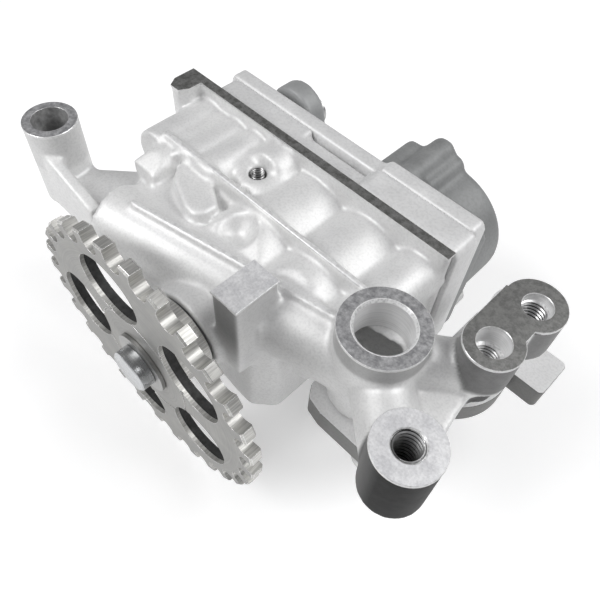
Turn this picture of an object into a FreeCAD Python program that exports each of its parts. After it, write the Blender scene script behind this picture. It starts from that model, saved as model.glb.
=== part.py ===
import FreeCAD, Part
import math
import os
import Sketcher

# Engine oil pump, gear type, driven by a roller chain.
# Millimetres, +Z up. The origin is on the drive shaft's axis in the plane of the housing's
# rear joint face. The shaft runs along Y with the sprocket at -Y, and the port arm is at +X.

doc = FreeCAD.newDocument("OilPump")
book = doc.addObject("Spreadsheet::Sheet", "Sizes")

SIZES = {
    # machined tops and the cast case
    "mount_height": 26.5,
    "case_floor": -33.0,
    "deck_height": 18.0,
    "valley_height": 15.5,
    "pillow_height": 20.8,
    "dimple_floor": 15.6,
    "case_left": -52.0,
    "case_right": 45.2,
    "case_front": -48.0,
    "flange_floor": -36.0,
    "lip_width": 3.2,
    "ridge_radius": 6.5,
    "rib_width": 2.4,
    "cross_rib_height": 24.0,
    "cross_rib_place": -24.6,
    # gear set
    "gear_module": 2.0,
    "gear_teeth": 13,
    "gear_width": 28.0,
    "gear_angle": 200.0,
    "pressure_angle": 25.0,
    "backlash": 0.16,
    "tip_clearance": 0.06,
    "side_clearance": 0.05,
    # shafts and bushes
    "shaft_front": 6.5,
    "shaft_rear": 6.0,
    "shaft_tip": -78.8,
    "shaft_end": 14.0,
    "running_fit": 0.02,
    "bush_wall": 1.5,
    "pin_radius": 5.0,
    "pin_grip": 8.0,
    "nose_radius": 13.5,
    "nose_tip": -58.0,
    "key_width": 4.0,
    "key_rise": 1.5,
    # sprocket
    "chain_pitch": 9.525,
    "chain_teeth": 28,
    "roller_radius": 3.175,
    "tooth_rise": 1.9,
    "sprocket_face": -73.2,
    "sprocket_width": 3.9,
    "window_radius": 9.4,
    "window_circle": 25.4,
    "hub_radius": 12.0,
    "hub_length": 10.6,
    "ring_wide": 9.6,
    # plates and rear casting
    "cover_thickness": 10.0,
    "rear_plate_thickness": 6.0,
    "gasket_thickness": 0.5,
    "plate_step_place": 10.5,
    "plate_step_drop": 2.6,
    "pot_flange": 6.0,
    "pot_depth": 26.0,
    "pot_wall": 4.0,
    "drum_x": 20.5,
    "drum_z": -8.0,
    "drum_radius": 22.8,
    "spigot_x": -8.0,
    "spigot_radius": 11.0,
    "spigot_bore": 7.5,
    "spigot_floor": -52.0,
    "seal_section": 1.1,
    # screws and dowels
    "screw_radius": 3.0,
    "screw_head": 5.0,
    "screw_head_height": 6.0,
    "screw_socket": 2.5,
    "screw_grip": 14.0,
    "dowel_radius": 3.0,
    "dowel_length": 20.0,
    # oil gallery along the top and the relief valve under its far end
    "gallery_angle": 11.6,
    "gallery_height": 7.0,
    "gallery_outer": 11.5,
    "gallery_bore": 8.4,
    "gallery_length": 92.0,
    "cup_depth": 6.0,
    "cup_wall": 1.2,
    "valve_along": 83.5,
    "valve_setback": 4.0,
    "valve_bore": 6.5,
    "valve_throat": 4.5,
    "valve_seat": -3.0,
    "valve_tower": 9.6,
    "piston_length": 13.0,
    "piston_wall": 1.6,
    "piston_travel": 8.0,
    "spring_wire": 1.1,
    "spring_turns": 7.0,
    "spring_radius": 3.9,
    "plug_reach": 7.0,
    "plug_head": 5.0,
    "washer_thickness": 1.2,
    # port arm
    "port_x": 47.2,
    "port_y": -31.6,
    "port_outer": 12.2,
    "port_bore": 7.7,
    "port_depth": 12.5,
    "barrel_x": 70.5,
    "barrel_y": -51.0,
    "barrel_radius": 9.0,
    "barrel_floor": 2.0,
    "stud_core": 3.4,
    "near_hole_x": 68.4,
    "near_hole_y": -15.8,
    "near_hole_radius": 4.5,
    "near_lobe": 7.9,
    "near_floor": 5.5,
    "far_hole_x": 70.0,
    "far_hole_y": 1.2,
    "far_hole_radius": 4.1,
    "far_lobe": 8.4,
    "flange_thickness": 14.0,
    # hollow boss on its web
    "tube_x": -72.4,
    "tube_y": -48.9,
    "tube_radius": 8.4,
    "tube_bore": 4.5,
    "tube_floor": -3.0,
    "web_height": 9.0,
    # square boss on the gallery
    "block_left": 10.1,
    "block_width": 9.7,
    "block_front": -55.5,
    "block_depth": 15.0,
    "block_floor": -5.0,
    # foot plate
    "foot_top": -5.0,
    "foot_thickness": 8.0,
    "neck_x": 62.0,
    "neck_y": -10.0,
    "neck_radius": 7.5,
    "neck_floor": -22.0,
}


class Size:
    """A length or angle that carries its value and its expression."""

    def __init__(self, value, text):
        self.value = value
        self.text = text

    def __add__(self, other):
        other = size(other)
        return Size(self.value + other.value, f"({self.text} + {other.text})")

    def __radd__(self, other):
        return size(other) + self

    def __sub__(self, other):
        other = size(other)
        return Size(self.value - other.value, f"({self.text} - {other.text})")

    def __rsub__(self, other):
        return size(other) - self

    def __mul__(self, other):
        other = size(other)
        return Size(self.value * other.value, f"({self.text} * {other.text})")

    def __rmul__(self, other):
        return size(other) * self

    def __truediv__(self, other):
        other = size(other)
        return Size(self.value / other.value, f"({self.text} / {other.text})")

    def __rtruediv__(self, other):
        return size(other) / self

    def __neg__(self):
        return Size(-self.value, f"(0 - {self.text})")


def size(number):
    return number if isinstance(number, Size) else Size(float(number), repr(float(number)))


def cosine(angle):
    angle = size(angle)
    return Size(math.cos(math.radians(angle.value)), f"cos({angle.text} * 1 deg)")


def sine(angle):
    angle = size(angle)
    return Size(math.sin(math.radians(angle.value)), f"sin({angle.text} * 1 deg)")


def root(number):
    return Size(math.sqrt(number.value), f"sqrt({number.text})")


class Named:
    pass


S = Named()
for row, (name, value) in enumerate(SIZES.items(), start=1):
    book.set(f"A{row}", name)
    book.set(f"B{row}", str(value))
    book.setAlias(f"B{row}", name)
    setattr(S, name, Size(float(value), f"Sizes.{name}"))
doc.recompute()


def bind(thing, path, number):
    thing.setExpression(path, size(number).text)


def body(label):
    part = doc.addObject("PartDesign::Body", label)
    part.Label = label
    return part


def plane_of(part, role):
    return next(item for item in part.Origin.OriginFeatures if item.Role == role)


class Outline:
    """A sketch on one of the body's own planes, each point tied to named sizes."""

    def __init__(self, part, name, role="XY_Plane", offset=0, shift=None, turn=None):
        self.part = part
        self.sketch = part.newObject("Sketcher::SketchObject", name)
        self.sketch.AttachmentSupport = [(plane_of(part, role), "")]
        self.sketch.MapMode = "FlatFace"
        if turn is not None:
            axis, angle = turn
            self.sketch.AttachmentOffset = FreeCAD.Placement(
                FreeCAD.Vector(), FreeCAD.Rotation(FreeCAD.Vector(*axis), size(angle).value))
            bind(self.sketch, "AttachmentOffset.Rotation.Angle", angle)
        if shift is not None:
            bind(self.sketch, "AttachmentOffset.Base.x", shift[0])
            bind(self.sketch, "AttachmentOffset.Base.y", shift[1])
        bind(self.sketch, "AttachmentOffset.Base.z", offset)

    def tie(self, kind, *rest):
        *rest, number = rest
        number = size(number)
        index = self.sketch.addConstraint(Sketcher.Constraint(kind, *rest, number.value))
        self.sketch.setExpression(f"Constraints[{index}]", number.text)

    def place(self, edge, corner, point):
        self.tie("DistanceX", -1, 1, edge, corner, point[0])
        self.tie("DistanceY", -1, 1, edge, corner, point[1])

    def circle(self, x, y, radius):
        x, y, radius = size(x), size(y), size(radius)
        middle = FreeCAD.Vector(x.value, y.value, 0)
        edge = self.sketch.addGeometry(Part.Circle(middle, FreeCAD.Vector(0, 0, 1), radius.value))
        self.place(edge, 3, (x, y))
        self.tie("Radius", edge, radius)
        return self

    def polygon(self, points, bends=None):
        """Straight edges, or an arc of radius r from corner k where bends[k] = (x, y, r)."""
        bends = bends or {}
        points = [(size(x), size(y)) for x, y in points]
        flat = [FreeCAD.Vector(x.value, y.value, 0) for x, y in points]
        edges = []
        for k, start in enumerate(flat):
            end = flat[(k + 1) % len(flat)]
            if k in bends:
                x, y, radius = (size(number) for number in bends[k])
                through = FreeCAD.Vector(x.value, y.value, 0)
                arc = Part.ArcOfCircle(start, through, end)
                edge = self.sketch.addGeometry(arc)
                first = 1 if self.sketch.getPoint(edge, 1).distanceToPoint(start) < 1e-6 else 2
                self.tie("Radius", edge, radius)
            else:
                edge = self.sketch.addGeometry(Part.LineSegment(start, end))
                first = 1
            edges.append((edge, first, 3 - first))
        for k, (edge, first, last) in enumerate(edges):
            follower, joint, _ = edges[(k + 1) % len(edges)]
            self.sketch.addConstraint(Sketcher.Constraint("Coincident", edge, last, follower, joint))
            self.place(edge, first, points[k])
        return self

    def hexagon(self, x, y, flats):
        radius = size(flats) / cosine(30) / 2
        return self.polygon([(x + radius * cosine(60 * k), y + radius * sine(60 * k))
                             for k in range(6)])

    def box(self, left, low, right, high):
        return self.polygon([(left, low), (right, low), (right, high), (left, high)])

    def feature(self, kind, name, length=None, away=False):
        item = self.part.newObject(kind, name)
        item.Profile = self.sketch
        if length is not None:
            bind(item, "Length", length)
        item.Reversed = away
        item.Refine = False
        return item

    def pad(self, length, away=False):
        return self.feature("PartDesign::Pad", self.sketch.Name + "Pad", length, away)

    def pocket(self, length, away=False):
        return self.feature("PartDesign::Pocket", self.sketch.Name + "Cut", length, away)

    def turn(self, kind="PartDesign::Revolution", axis="H_Axis"):
        item = self.feature(kind, self.sketch.Name + "Turn")
        item.ReferenceAxis = (self.sketch, [axis])
        item.Angle = 360
        return item


def lathe(part, name, points, cut=False):
    """Turns a profile of (place along Y, radius) about the Y axis of the body."""
    flat = Outline(part, name, "XY_Plane", turn=((0, 0, 1), 90)).polygon(
        [(along, -size(radius)) for along, radius in points])
    return flat.turn("PartDesign::Groove" if cut else "PartDesign::Revolution")


def spin(part, name, points, cut=False):
    """Turns a profile of (radius, height) about the Z axis of the body."""
    flat = Outline(part, name, "XZ_Plane").polygon(points)
    return flat.turn("PartDesign::Groove" if cut else "PartDesign::Revolution", "V_Axis")


def around(part, feature, sketch, count):
    """Repeats a feature round the normal of its sketch."""
    ring = part.newObject("PartDesign::PolarPattern", feature.Name + "Ring")
    ring.Originals = [feature]
    ring.Axis = (sketch, ["N_Axis"])
    ring.Angle = 360
    bind(ring, "Occurrences", count)
    ring.Refine = False
    part.Tip = ring
    return ring


def seat(part, x=0, y=0, z=0):
    """Puts a finished body at its place in the pump."""
    for axis, number in zip("xyz", (x, y, z)):
        bind(part, f"Placement.Base.{axis}", number)


def along_y(part, name, y, shapes):
    """A sketch on the XZ plane at the given Y, with circles (x, z, radius)."""
    flat = Outline(part, name, "XZ_Plane", offset=-size(y))
    for x, z, radius in shapes:
        flat.circle(x, z, radius)
    return flat


def rounded(part, radius, test):
    """Rounds the edges of the body's last feature whose middle and ends pass the test."""
    doc.recompute()
    base = part.Tip
    names = []
    for number, edge in enumerate(base.Shape.Edges, start=1):
        middle = edge.valueAt((edge.FirstParameter + edge.LastParameter) / 2)
        if test(edge, middle):
            names.append(f"Edge{number}")
    item = part.newObject("PartDesign::Fillet", f"{part.Name}Round{len(part.Group)}")
    item.Base = (base, names)
    bind(item, "Radius", radius)
    doc.recompute()
    return item


def upright(edge, middle):
    ends = [v.Point for v in edge.Vertexes]
    return len(ends) == 2 and abs(ends[0].x - ends[1].x) < 1e-6 and abs(ends[0].y - ends[1].y) < 1e-6


# Places that several pieces share.
pitch_radius = S.gear_module * S.gear_teeth / 2
gear_tip = pitch_radius + S.gear_module
gear_root = pitch_radius - S.gear_module * 1.25
chamber_radius = gear_tip + S.tip_clearance
driven_x = pitch_radius * 2 * cosine(S.gear_angle)
driven_z = pitch_radius * 2 * sine(S.gear_angle)
chamber_depth = S.gear_width + S.side_clearance * 2
mesh_x = driven_x / 2
mesh_z = driven_z / 2
outlet_x = mesh_x + 9.6 * sine(S.gear_angle)
outlet_z = mesh_z - 9.6 * cosine(S.gear_angle)
inlet_x = mesh_x - 9.8 * sine(S.gear_angle)
inlet_z = mesh_z + 9.8 * cosine(S.gear_angle)
cover_rear = S.cover_thickness
plates_rear = cover_rear + S.rear_plate_thickness
pot_front = plates_rear + S.gasket_thickness
flange_rear = pot_front + S.pot_flange
head_seat = flange_rear
bush_outer = S.shaft_front + S.running_fit + S.bush_wall
rear_bush_outer = S.shaft_rear + S.running_fit + S.bush_wall
pin_bush_outer = S.pin_radius + S.running_fit + S.bush_wall
deck_screw = S.deck_height - 2.5
screw_places = [
    (size(-33.0), deck_screw - 2.5), (size(27.0), deck_screw - 12.5),
    (size(38.0), S.flange_floor + 12), (size(14.0), S.flange_floor + 8.5),
    (size(-28.0), S.flange_floor + 6), (size(-46.5), S.flange_floor + 23)]
dowel_places = [(size(-47.0), deck_screw), (size(37.5), deck_screw)]
foot_screws = [(size(58.5), size(-41.5)), (size(63.0), size(7.5))]


def gallery_point(along, side=0):
    """Plan place at a distance along the gallery from the port's centre."""
    x = S.port_x - size(along) * cosine(S.gallery_angle) + size(side) * sine(S.gallery_angle)
    y = S.port_y - size(along) * sine(S.gallery_angle) - size(side) * cosine(S.gallery_angle)
    return x, y


def gallery_outline(part, name):
    """A level sketch through the gallery's axis: its X runs from the port to the far end."""
    return Outline(part, name, "XY_Plane", S.gallery_height, (S.port_x, S.port_y),
                   ((0, 0, 1), S.gallery_angle + 180))


# Housing: one light alloy casting with machined tops.
housing = body("housing")

Outline(housing, "Case", offset=S.case_floor).polygon([
    (S.case_left, 0), (S.case_left, -30), (S.case_left + 9, S.case_front + 6),
    (S.case_left + 22, S.case_front), (18, S.case_front - 3), (25, S.case_front + 3), (25, 0),
]).pad(14 - S.case_floor)
rounded(housing, 4, upright)
Outline(housing, "Deck", offset=-14).polygon([
    (S.case_left + 1, 0), (S.case_left + 1, -27), (S.case_left + 8, -36), (-30, -44),
    (30, -40), (S.case_right - 1, -30), (S.case_right - 1, 0),
]).pad(S.deck_height + 14)

# The deck is waved: broad humps run from the rear lip under the cross rib to the gallery.
humps = ((-50.0, 4.5, 9.0), (-37.5, 4.6, 6.5), (-28.5, 5.3, 6.0), (-2.5, 3.9, 18.0),
         (19.5, 3.3, 15.0), (38.0, 3.7, 7.5))
for number, (x, rise, radius) in enumerate(humps, start=1):
    reach = -38 if radius > 10 else -28
    along_y(housing, f"Hump{number}", 0, [(x, S.deck_height + rise - radius, radius)]).pad(-reach)
along_y(housing, "HighHump", 0, [(-17, S.deck_height + 7.6 - 8.7, 8.7)]).pad(11)
along_y(housing, "FrontRidge", 0, [(-43.5, S.deck_height + 3.8 - 5.8, 5.8)]).pad(37)
Outline(housing, "DeckSlope", "YZ_Plane", offset=50).polygon([
    (-29, S.deck_height + 9), (-29, S.deck_height + 4.5), (-41, S.deck_height - 1.5),
    (-60, S.deck_height - 1.5), (-60, S.deck_height + 9)]).pocket(110)
Outline(housing, "Valley", offset=S.deck_height + 9).polygon([
    (S.case_left - 8, -37.5), (S.case_left - 8, -60), (-13, -60), (-13, -40), (-15, -27),
    (-38.5, -27), (-38.5, -37.5),
]).pocket(S.deck_height + 9 - S.valley_height)
Outline(housing, "Pillow", offset=S.valley_height - 4).polygon([
    (-36.5, -29), (-35, -26), (-24, -26), (-15, -31.5), (-15, -36.5), (-17.5, -39.5),
    (-22, -38.8), (-33, -34)]).pad(S.pillow_height - S.valley_height + 4)
dimple = Outline(housing, "Dimple", "XZ_Plane", 34, (size(-5), size(0)))
dimple.polygon([(0, S.dimple_floor), (2.6, S.dimple_floor), (6.6, S.deck_height + 2.5),
                (6.6, S.deck_height + 9), (0, S.deck_height + 9)]).turn(
    "PartDesign::Groove", "V_Axis")
along_y(housing, "LowBosses", 0, [(x, z, S.ridge_radius) for x, z in screw_places[2:]]).pad(18)
Outline(housing, "HoleBoss", offset=0).circle(-16.7, -14.4, 6.8).pad(S.deck_height + 3.7)
Outline(housing, "CrossRib", offset=0).box(
    S.case_left + 4, S.cross_rib_place - S.rib_width / 2, S.port_x - 10,
    S.cross_rib_place + S.rib_width / 2).pad(S.cross_rib_height)

# Rear joint flange, its upper edge is the long machined strip.
Outline(housing, "Flange", "XZ_Plane").polygon([
    (S.case_left - 4, S.flange_floor + 8), (S.case_left + 4, S.flange_floor),
    (S.case_right - 6, S.flange_floor), (S.case_right, S.flange_floor + 6),
    (S.case_right, S.mount_height), (S.case_left - 4, S.mount_height)]).pad(S.lip_width)
Outline(housing, "Corner", offset=6).polygon([
    (-63.4, 0), (-63.4, -8), (-61.5, -11.2), (-57.6, -11.2), (-55.9, -8), (-55.9, 0),
]).pad(S.mount_height - 6)
Outline(housing, "CornerFoot", offset=-8).polygon([
    (-60, 0), (-58, -11), (S.case_left + 2, -13), (S.case_left + 2, 0)]).pad(17)

# Valve gallery: a long cylinder with a domed right end under the port.
gallery_outline(housing, "Gallery").polygon([
    (0, 0), (S.gallery_length, 0), (S.gallery_length, S.gallery_outer), (0, S.gallery_outer),
    (-S.gallery_outer * 0.7, S.gallery_outer * 0.7), (-S.gallery_outer, 0)]).turn()
gallery_outline(housing, "GalleryRib").box(
    12, -S.rib_width / 2, S.gallery_length - 9, S.rib_width / 2).pad(S.gallery_outer + 1.8)
Outline(housing, "Block", offset=S.block_floor).box(
    S.block_left, S.block_front, S.block_left + S.block_width, S.block_front + S.block_depth,
).pad(S.mount_height - S.block_floor)

# Port ring and the arm that forks to the threaded barrel and the two-hole flange.
Outline(housing, "PortRing", offset=S.gallery_height - S.gallery_outer).circle(
    S.port_x, S.port_y, S.port_outer).pad(S.mount_height - S.gallery_height + S.gallery_outer)


def limb(name, x, y, radius, height):
    """A round limb from the port's centre towards a boss at (x, y)."""
    reach_x, reach_y = x - S.port_x, y - S.port_y
    length = root(reach_x * reach_x + reach_y * reach_y)
    heading = Size(math.degrees(math.atan2(reach_y.value, reach_x.value)),
                   f"atan2({reach_y.text}; {reach_x.text})")
    flat = Outline(housing, name, "XY_Plane", height, (S.port_x, S.port_y), ((0, 0, 1), heading))
    flat.polygon([(0, 0), (length, 0), (length, radius), (0, radius)]).turn()


limb("BarrelLimb", S.barrel_x, S.barrel_y, size(8.4), size(10.5))
limb("FlangeLimb", S.near_hole_x, S.near_hole_y, size(7.4), size(13.0))
Outline(housing, "Barrel", offset=S.barrel_floor).circle(
    S.barrel_x, S.barrel_y, S.barrel_radius).pad(S.mount_height - S.barrel_floor)
lobe_floor = S.mount_height - S.flange_thickness
Outline(housing, "NearLobe", offset=lobe_floor).circle(
    S.near_hole_x, S.near_hole_y, S.near_lobe).pad(S.flange_thickness)
Outline(housing, "FarLobe", offset=lobe_floor).circle(
    S.far_hole_x - 0.6, S.far_hole_y, S.far_lobe).pad(S.flange_thickness)
Outline(housing, "LobeBridge", offset=lobe_floor).box(
    S.near_hole_x - S.near_lobe, S.near_hole_y, S.near_hole_x + 5.4, S.far_hole_y,
).pad(S.flange_thickness)
Outline(housing, "ArmWeb", offset=4).polygon([
    (S.port_x + 4, S.port_y + 6), (S.near_hole_x + 1.7, S.near_hole_y),
    (S.near_hole_x + 3, S.near_hole_y - 10), (S.barrel_x + 1.9, S.barrel_y + 19),
    (S.barrel_x + 4.4, S.barrel_y + 8), (S.barrel_x, S.barrel_y), (S.port_x + 8, S.port_y - 10),
]).pad(8)
Outline(housing, "NearBoss", offset=S.near_floor).circle(
    S.near_hole_x, S.near_hole_y, 6.2).pad(lobe_floor + 2 - S.near_floor)
posts = Outline(housing, "Posts", offset=S.foot_top)
for x, y in foot_screws:
    posts.circle(x, y, 5.7)
posts.pad(lobe_floor + 2 - S.foot_top)

# Hollow boss on its web, with a sloping stiffener along the front edge.
Outline(housing, "Tube", offset=S.tube_floor).circle(
    S.tube_x, S.tube_y, S.tube_radius).pad(S.mount_height - S.tube_floor)
Outline(housing, "Web", offset=S.tube_floor).polygon([
    (S.tube_x, S.tube_y - 6), (-46, -54.5), (-38, -44), (S.case_left + 1, -31),
    (S.tube_x + 9, -42.5), (S.tube_x, S.tube_y + 7)]).pad(S.web_height - S.tube_floor)
Outline(housing, "WebEdge", "XZ_Plane", offset=52.5).polygon([
    (S.tube_x + 2, S.tube_floor), (-45, S.tube_floor), (-45, 12), (S.tube_x + 4, 20.5),
    (S.tube_x + 2, 20.5)]).pad(4.4)

# Tower around the relief valve, in front of the case below the gallery.
valve_x, valve_y = gallery_point(S.valve_along, -S.valve_setback)
Outline(housing, "ValveTower", offset=S.case_floor).circle(
    valve_x, valve_y, S.valve_tower).pad(S.gallery_height - S.case_floor)

# Nose that carries the front bush.
along_y(housing, "Nose", S.case_front + 4, [(0, 0, S.nose_radius)]).pad(
    S.case_front + 4 - S.nose_tip)

# Gear chamber, its two pockets and the way to the gallery.
along_y(housing, "ChamberDrive", 0, [(0, 0, chamber_radius)]).pocket(chamber_depth, True)
along_y(housing, "ChamberDriven", 0, [(driven_x, driven_z, chamber_radius)]).pocket(
    chamber_depth, True)
along_y(housing, "Outlet", 0, [(outlet_x, outlet_z, 5)]).pocket(chamber_depth + 4, True)
along_y(housing, "Inlet", 0, [(inlet_x, inlet_z, 6)]).pocket(chamber_depth - 6, True)
along_y(housing, "OutletWay", 0, [(outlet_x, outlet_z + 1, 3.6)]).pocket(45, True)
gallery_outline(housing, "GalleryBore").polygon([
    (0.6 - S.port_bore, 0), (S.gallery_length + 1, 0), (S.gallery_length + 1, S.gallery_bore),
    (3 - S.port_bore, S.gallery_bore), (0.6 - S.port_bore, S.gallery_bore - 3),
]).turn("PartDesign::Groove")
Outline(housing, "Throat", offset=S.gallery_height).circle(
    valve_x, valve_y, S.valve_throat).pocket(S.gallery_height - S.case_floor)
Outline(housing, "ValveBore", offset=S.valve_seat).circle(
    valve_x, valve_y, S.valve_bore).pocket(S.valve_seat - S.case_floor)
Outline(housing, "ValveTap", offset=S.case_floor).circle(
    valve_x, valve_y, S.valve_bore + 1.2).pocket(S.plug_reach + 1, True)
Outline(housing, "Relief", "XZ_Plane", -valve_y).circle(
    valve_x, S.valve_seat - 6, 2.6).pocket(S.valve_tower + 6, True)

# Bores and tapped holes.
lathe(housing, "NoseBore", [
    (S.nose_tip - 1, 0), (0, 0), (0, bush_outer), (S.nose_tip - 1, bush_outer)], cut=True)
along_y(housing, "PinBore", 0, [(driven_x, driven_z, S.pin_radius)]).pocket(
    chamber_depth + S.pin_grip, True)
along_y(housing, "ScrewHoles", 0, [(x, z, S.screw_radius) for x, z in screw_places]).pocket(
    S.screw_grip + 2, True)
along_y(housing, "DowelHoles", 0, [(x, z, S.dowel_radius) for x, z in dowel_places]).pocket(
    S.dowel_length * 0.4 + 0.5, True)
port = Outline(housing, "PortBore", offset=S.mount_height)
port.circle(S.port_x, S.port_y, S.port_bore).pocket(S.port_depth)
Outline(housing, "BarrelHole", offset=S.mount_height).circle(
    S.barrel_x, S.barrel_y, S.stud_core).pocket(18)
Outline(housing, "NearHole", offset=S.mount_height).circle(
    S.near_hole_x, S.near_hole_y, S.near_hole_radius).pocket(7)
Outline(housing, "NearThrough", offset=S.mount_height).circle(
    S.near_hole_x, S.near_hole_y, S.stud_core).pocket(S.mount_height - S.near_floor + 2)
Outline(housing, "FarHole", offset=S.mount_height).circle(
    S.far_hole_x, S.far_hole_y, S.far_hole_radius).pocket(3)
Outline(housing, "FarThread", offset=S.mount_height).circle(
    S.far_hole_x, S.far_hole_y, S.stud_core).pocket(S.flange_thickness + 0.5)
Outline(housing, "TubeMouth", offset=S.mount_height).circle(
    S.tube_x, S.tube_y, S.tube_bore + 1.1).pocket(6)
Outline(housing, "TubeBore", offset=S.mount_height).circle(
    S.tube_x, S.tube_y, S.tube_bore).pocket(S.mount_height - S.tube_floor)
Outline(housing, "SmallHole", offset=S.deck_height + 3.7).circle(-16.7, -14.4, 2.1).pocket(8)
taps = Outline(housing, "FootTaps", offset=S.foot_top)
for x, y in foot_screws:
    taps.circle(x, y, S.screw_radius)
taps.pocket(12, True)

# Cover plate and rear plate: two light plates with a step in the top edge.
plate_top = S.mount_height - 0.3


def plate(label, y, thickness, left, right):
    part = body(label)
    low = S.flange_floor
    Outline(part, "Plate", "XZ_Plane", -size(y)).polygon([
        (left, low + 8), (left + 8, low), (right - 7, low), (right, low + 7),
        (right, plate_top - 2), (right - 1.5, plate_top), (S.plate_step_place, plate_top),
        (S.plate_step_place - 2.2, plate_top - S.plate_step_drop),
        (left + 1.5, plate_top - S.plate_step_drop), (left, plate_top - S.plate_step_drop - 2.5),
    ]).pad(thickness, True)
    holes = [(x, z, S.screw_radius + 0.3) for x, z in screw_places]
    along_y(part, "ScrewHoles", y, holes).pocket(thickness)
    along_y(part, "InletWay", y, [(inlet_x, inlet_z, 6)]).pocket(thickness)
    along_y(part, "DowelHoles", y, [(x, z, S.dowel_radius) for x, z in dowel_places]).pocket(
        thickness)
    return part


cover_plate = plate("cover_plate", 0, S.cover_thickness, S.case_left - 2.4, S.case_right + 1)
Outline(cover_plate, "TopSlope", "YZ_Plane", offset=S.plate_step_place - 3).polygon([
    (3.4, plate_top), (3.4, plate_top - S.plate_step_drop + 0.1),
    (cover_rear, plate_top - S.plate_step_drop - 3.6), (cover_rear, plate_top),
]).pocket(S.plate_step_place + 14)
along_y(cover_plate, "BushBore", 0, [(0, 0, rear_bush_outer)]).pocket(S.cover_thickness)
along_y(cover_plate, "PinBore", 0, [(driven_x, driven_z, S.pin_radius)]).pocket(S.pin_grip)
rear_plate = plate("rear_plate", cover_rear, S.rear_plate_thickness,
                   S.case_left - 4.6, S.case_right - 0.2)
along_y(rear_plate, "ShaftEnd", cover_rear, [(0, 0, S.shaft_rear + 1)]).pocket(
    S.shaft_end - cover_rear + 0.6)

# Rear casting: a round drum with a side wing, a suction spigot below and a bolted flange.
flange_top = deck_screw + 4.5
pot_outline = [
    (-51, -26), (-44, S.flange_floor + 1), (36, S.flange_floor + 1), (44, -29),
    (44, flange_top - 6), (38, flange_top), (6, flange_top - 0.5), (2, flange_top - 5),
    (-22, flange_top - 5), (-26, flange_top), (-41, flange_top), (-51, 10)]
cavity = [(-35, -16), (-22, -20), (4, -20), (8, -17.5), (24, -17.5), (30, -14), (33, -8),
          (18, -7), (16, 5), (8, 5), (0, -5), (-35, -7)]
wing_depth = S.pot_depth - 4.5
rear_casting = body("rear_casting")
along_y(rear_casting, "Drum", pot_front, [(S.drum_x, S.drum_z, S.drum_radius)]).pad(
    S.pot_depth, True)
rounded(rear_casting, 4, lambda edge, middle: middle.y > (pot_front + S.pot_depth).value - 0.1)
Outline(rear_casting, "Wing", "XZ_Plane", -pot_front).polygon([
    (-40, -16), (-34, -33), (20, -33), (20, 8), (6, 10), (-2, -2), (-37, -3)]).pad(
    wing_depth, True)
rounded(rear_casting, 3.5, lambda edge, middle: edge.Curve.TypeId == "Part::GeomLine"
        and abs(edge.tangentAt(edge.FirstParameter).y) > 0.999 and middle.x < -30)
Outline(rear_casting, "PotFlange", "XZ_Plane", -pot_front).polygon(pot_outline).pad(
    S.pot_flange, True)
along_y(rear_casting, "ScrewBoss", pot_front, [
    (screw_places[0][0] - 0.5, screw_places[0][1] + 3.4, 9.6)]).pad(S.pot_flange + 1.2, True)
for name, x, z, radius, reach in (
        ("ShortLump", 6.2, flange_top - 5, 4.2, 19), ("TallLump", 13.2, flange_top - 3, 4.6, 25),
        ("SideLump", 18.6, flange_top - 5.4, 3.6, 25)):
    along_y(rear_casting, name, pot_front, [(x, z, radius)]).pad(size(reach), True)
along_y(rear_casting, "DrumPad", pot_front + S.pot_depth, [
    (S.drum_x, S.drum_z, 12), (S.drum_x, S.drum_z, 9)]).pad(1.2, True)
spigot_y = pot_front + S.spigot_radius + 0.8
Outline(rear_casting, "Spigot", offset=S.spigot_floor).circle(
    S.spigot_x, spigot_y, S.spigot_radius).pad(-20 - S.spigot_floor)
along_y(rear_casting, "Access", head_seat, [(x, z, 6) for x, z in screw_places]).pocket(
    S.pot_depth)
along_y(rear_casting, "ScrewHoles", pot_front, [
    (x, z, S.screw_radius + 0.3) for x, z in screw_places]).pocket(S.pot_flange)
Outline(rear_casting, "Cavity", "XZ_Plane", -pot_front).polygon(cavity).pocket(
    wing_depth - S.pot_wall)
Outline(rear_casting, "SpigotBore", offset=S.spigot_floor).circle(
    S.spigot_x, spigot_y, S.spigot_bore).pocket(-12 - S.spigot_floor, True)
groove_height = S.seal_section * 2 + 0.4
Outline(rear_casting, "SealGroove", offset=S.spigot_floor + 3).circle(
    S.spigot_x, spigot_y, S.spigot_radius + 1).circle(
    S.spigot_x, spigot_y, S.spigot_radius - S.seal_section * 1.7).pocket(groove_height, True)

rear_gasket = body("rear_gasket")
Outline(rear_gasket, "Sheet", "XZ_Plane", -plates_rear).polygon(pot_outline).polygon(
    cavity).pad(S.gasket_thickness, True)
along_y(rear_gasket, "ScrewHoles", plates_rear, [
    (x, z, S.screw_radius + 0.3) for x, z in screw_places]).pocket(S.gasket_thickness)

inlet_seal = body("inlet_seal")
Outline(inlet_seal, "Section", "XZ_Plane").circle(
    S.spigot_radius - S.seal_section * 0.65, 0, S.seal_section).turn(axis="V_Axis")
seat(inlet_seal, S.spigot_x, spigot_y, S.spigot_floor + 3 + groove_height / 2)

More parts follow.
